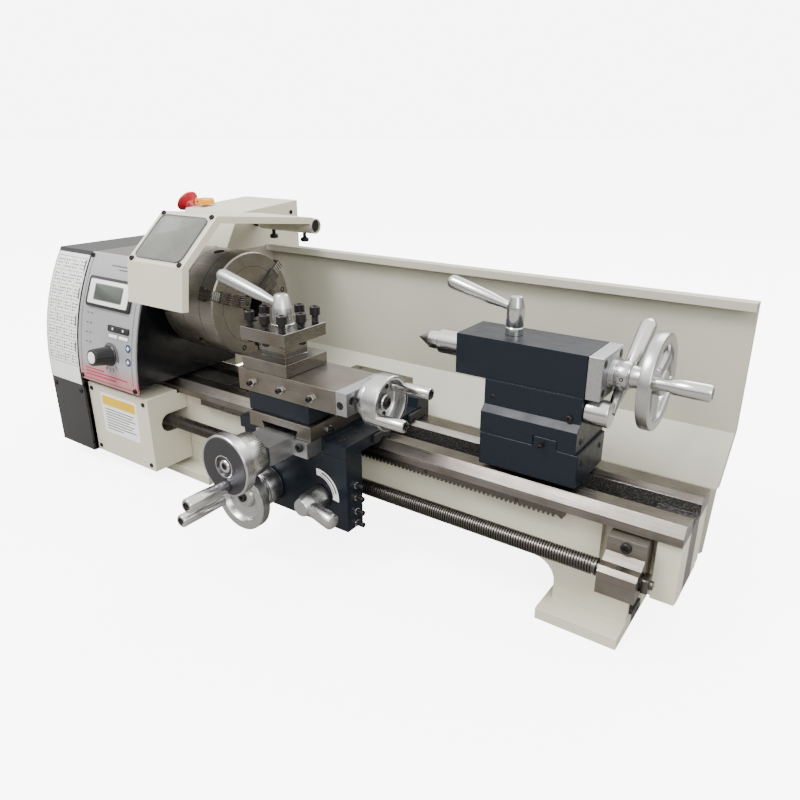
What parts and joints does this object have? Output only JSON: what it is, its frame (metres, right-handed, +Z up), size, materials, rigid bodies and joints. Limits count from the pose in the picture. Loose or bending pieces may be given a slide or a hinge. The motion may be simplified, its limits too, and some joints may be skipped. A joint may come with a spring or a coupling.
{
  "type": "metal lathe",
  "caption": "Bench metalworking lathe with a variable-speed head, three-jaw chuck and guard, carriage with compound slide and tool post, tailstock and rear splash guard.",
  "frame": {"origin": "middle of the underside of the headstock-end foot, on the bench", "axes": "+X along the spindle axis from the headstock to the tailstock, +Z up, -Y towards the operator"},
  "size_m": [0.832, 0.441, 0.3486],
  "materials": {
    "cream_paint": "smooth enamel",
    "casting_paint": "smooth dark blue enamel",
    "head_paint": "gloss near-black enamel",
    "ground_steel": "ground and oiled",
    "bright_steel": "polished",
    "aluminium": "turned",
    "black_oxide": "black oxide",
    "leadscrew_steel": "rolled thread",
    "silver_panel": "printed silver sheet",
    "black_plastic": "moulded",
    "red_plastic": "moulded",
    "yellow_plastic": "moulded",
    "clear_window": "clear sheet",
    "rubber": "matt"
  },
  "bodies": {
    "bed_and_head": {"bed": "cream_paint", "gear_rack": "ground_steel", "splash_guard": "cream_paint", "headstock_casting": "head_paint", "headstock_top_cover": "head_paint", "front_spindle_bearing": "bright_steel", "rear_spindle_bearing": "bright_steel", "control_panel": "silver_panel", "display_module": "black_plastic", "gear_cover": "head_paint", "leadscrew_cover": "cream_paint", "electrical_box": "cream_paint", "drive_motor": "black_oxide", "drive_belt": "rubber", "estop_base": "yellow_plastic", "guard_hinge_pin": "black_oxide", "change_gear_stud": "bright_steel", "leadscrew_bearing_block": "ground_steel"},
    "spindle_group": {"spindle": "ground_steel", "spindle_pulley": "aluminium", "spindle_gear": "ground_steel", "chuck_backplate": "ground_steel", "chuck_body": "ground_steel"},
    "jaw_1": {"chuck_jaw_1": "ground_steel"},
    "jaw_2": {"chuck_jaw_2": "ground_steel"},
    "jaw_3": {"chuck_jaw_3": "ground_steel"},
    "motor_pulley_group": {"motor_pulley": "aluminium"},
    "change_gear_group": {"change_gear": "ground_steel"},
    "leadscrew_group": {"leadscrew": "leadscrew_steel", "leadscrew_gear": "ground_steel"},
    "speed_knob_group": {"speed_knob": "black_plastic"},
    "estop_flap_group": {"estop_flap": "red_plastic"},
    "estop_button_group": {"estop_button": "red_plastic"},
    "guard_group": {"chuck_guard": "cream_paint", "guard_window": "clear_window"},
    "carriage": {"saddle": "casting_paint", "apron": "casting_paint", "half_nut": "bright_steel", "cross_slide_bracket": "aluminium"},
    "carriage_wheel": {"carriage_handwheel": "aluminium", "carriage_handle": "bright_steel"},
    "half_nut_lever_group": {"half_nut_lever": "aluminium"},
    "cross_slide_group": {"cross_slide": "ground_steel"},
    "cross_wheel": {"cross_slide_handwheel": "aluminium", "cross_slide_handle": "bright_steel"},
    "compound_swivel": {"compound_base": "casting_paint"},
    "top_slide_group": {"top_slide": "ground_steel", "top_slide_bracket": "aluminium"},
    "top_slide_wheel": {"top_slide_handwheel": "aluminium"},
    "tool_post_group": {"tool_post": "ground_steel"},
    "tool_post_lever_group": {"tool_post_lever": "bright_steel"},
    "tailstock_group": {"tailstock_base": "casting_paint", "tailstock_body": "casting_paint", "tailstock_flange": "aluminium"},
    "quill_group": {"tailstock_quill": "ground_steel", "tailstock_centre": "bright_steel"},
    "tailstock_wheel": {"tailstock_handwheel": "aluminium", "tailstock_handle": "bright_steel"},
    "quill_lock": {"quill_lock_lever": "bright_steel"},
    "tailstock_clamp": {"tailstock_clamp_lever": "bright_steel"}
  },
  "joints": [
    {"name": "spindle_turn", "type": "hinge", "parent": "bed_and_head", "child": "spindle_group", "pos_m": [0.13, 0, 0.235], "axis": [1, 0, 0], "continuous": true},
    {"name": "jaw_1_slide", "type": "slide", "parent": "spindle_group", "child": "jaw_1", "axis": [0, -0.9397, 0.342], "range_m": [-0.008, 0.004]},
    {"name": "jaw_2_slide", "type": "slide", "parent": "spindle_group", "child": "jaw_2", "axis": [0, 0.766, 0.6428], "range_m": [-0.008, 0.004]},
    {"name": "jaw_3_slide", "type": "slide", "parent": "spindle_group", "child": "jaw_3", "axis": [0, 0.1736, -0.9848], "range_m": [-0.008, 0.004]},
    {"name": "motor_pulley_turn", "type": "hinge", "parent": "bed_and_head", "child": "motor_pulley_group", "pos_m": [-0.124, 0.135, 0.19], "axis": [1, 0, 0], "continuous": true},
    {"name": "change_gear_turn", "type": "hinge", "parent": "bed_and_head", "child": "change_gear_group", "pos_m": [-0.142, -0.0304, 0.1583], "axis": [1, 0, 0], "continuous": true},
    {"name": "leadscrew_turn", "type": "hinge", "parent": "bed_and_head", "child": "leadscrew_group", "pos_m": [0.23, -0.061, 0.081], "axis": [1, 0, 0], "continuous": true},
    {"name": "speed_knob_turn", "type": "hinge", "parent": "bed_and_head", "child": "speed_knob_group", "pos_m": [-0.0284, -0.09827, 0.1674], "axis": [0, -0.9909, 0.1345], "range_deg": [0, 300]},
    {"name": "estop_flap_hinge", "type": "hinge", "parent": "bed_and_head", "child": "estop_flap_group", "pos_m": [-0.089, 0.112, 0.331], "axis": [0, 1, 0], "range_deg": [0, 53]},
    {"name": "estop_button_press", "type": "slide", "parent": "estop_flap_group", "child": "estop_button_group", "axis": [0.7986, 0, -0.6018], "range_m": [0, 0.004]},
    {"name": "chuck_guard_hinge", "type": "hinge", "parent": "bed_and_head", "child": "guard_group", "pos_m": [0.08, 0.12, 0.315], "axis": [-1, 0, 0], "range_deg": [0, 75]},
    {"name": "carriage_slide", "type": "slide", "parent": "bed_and_head", "child": "carriage", "axis": [1, 0, 0], "range_m": [-0.03, 0.105]},
    {"name": "carriage_wheel_turn", "type": "hinge", "parent": "carriage", "child": "carriage_wheel", "pos_m": [0.241, -0.137, 0.07], "axis": [0, -1, 0], "range_deg": [-62.9, 217.6]},
    {"name": "half_nut_lever_turn", "type": "hinge", "parent": "carriage", "child": "half_nut_lever_group", "pos_m": [0.314, -0.11, 0.076], "axis": [0, 1, 0], "range_deg": [0, 60]},
    {"name": "cross_slide_feed", "type": "slide", "parent": "carriage", "child": "cross_slide_group", "axis": [0, 1, 0], "range_m": [0, 0.045]},
    {"name": "cross_wheel_turn", "type": "hinge", "parent": "carriage", "child": "cross_wheel", "pos_m": [0.278, -0.17, 0.138], "axis": [0, 1, 0], "range_deg": [0, 3239.4]},
    {"name": "compound_turn", "type": "hinge", "parent": "cross_slide_group", "child": "compound_swivel", "pos_m": [0.278, -0.08, 0.17], "axis": [0, 0, 1], "range_deg": [-30, 30]},
    {"name": "top_slide_feed", "type": "slide", "parent": "compound_swivel", "child": "top_slide_group", "axis": [-1, 0, 0], "range_m": [-0.015, 0.03]},
    {"name": "top_wheel_turn", "type": "hinge", "parent": "top_slide_group", "child": "top_slide_wheel", "pos_m": [0.38, -0.08, 0.192], "axis": [-1, 0, 0], "range_deg": [-1080.5, 2159.9]},
    {"name": "tool_post_index", "type": "hinge", "parent": "top_slide_group", "child": "tool_post_group", "pos_m": [0.2605, -0.082, 0.23], "axis": [0, 0, 1], "range_deg": [0, 90]},
    {"name": "tool_post_lever_turn", "type": "hinge", "parent": "tool_post_group", "child": "tool_post_lever_group", "pos_m": [0.2605, -0.082, 0.26], "axis": [0, 0, 1], "range_deg": [0, 60]},
    {"name": "tailstock_slide", "type": "slide", "parent": "bed_and_head", "child": "tailstock_group", "axis": [1, 0, 0], "range_m": [-0.06, 0.08]},
    {"name": "quill_feed", "type": "slide", "parent": "tailstock_group", "child": "quill_group", "axis": [-1, 0, 0], "range_m": [0, 0.05]},
    {"name": "tailstock_wheel_turn", "type": "hinge", "parent": "tailstock_group", "child": "tailstock_wheel", "pos_m": [0.609, 0, 0.235], "axis": [-1, 0, 0], "range_deg": [0, 3599.2]},
    {"name": "quill_lock_turn", "type": "hinge", "parent": "tailstock_group", "child": "quill_lock", "pos_m": [0.4765, 0, 0.27], "axis": [0, 0, 1], "range_deg": [0, 60]},
    {"name": "tailstock_clamp_turn", "type": "hinge", "parent": "tailstock_group", "child": "tailstock_clamp", "pos_m": [0.566, -0.014, 0.202], "axis": [1, 0, 0], "range_deg": [-50, 0]}
  ],
  "couplings": [
    {"joint": "jaw_2_slide", "follows": "jaw_1_slide", "ratio": 1},
    {"joint": "jaw_3_slide", "follows": "jaw_1_slide", "ratio": 1},
    {"joint": "motor_pulley_turn", "follows": "spindle_turn", "ratio": 1.6667},
    {"joint": "change_gear_turn", "follows": "spindle_turn", "ratio": -0.57692},
    {"joint": "leadscrew_turn", "follows": "spindle_turn", "ratio": 0.98039},
    {"joint": "carriage_wheel_turn", "follows": "carriage_slide", "rad_per_m": 36},
    {"joint": "cross_wheel_turn", "follows": "cross_slide_feed", "rad_per_m": 1256},
    {"joint": "top_wheel_turn", "follows": "top_slide_feed", "rad_per_m": 1256},
    {"joint": "tailstock_wheel_turn", "follows": "quill_feed", "rad_per_m": 1256}
  ]
}
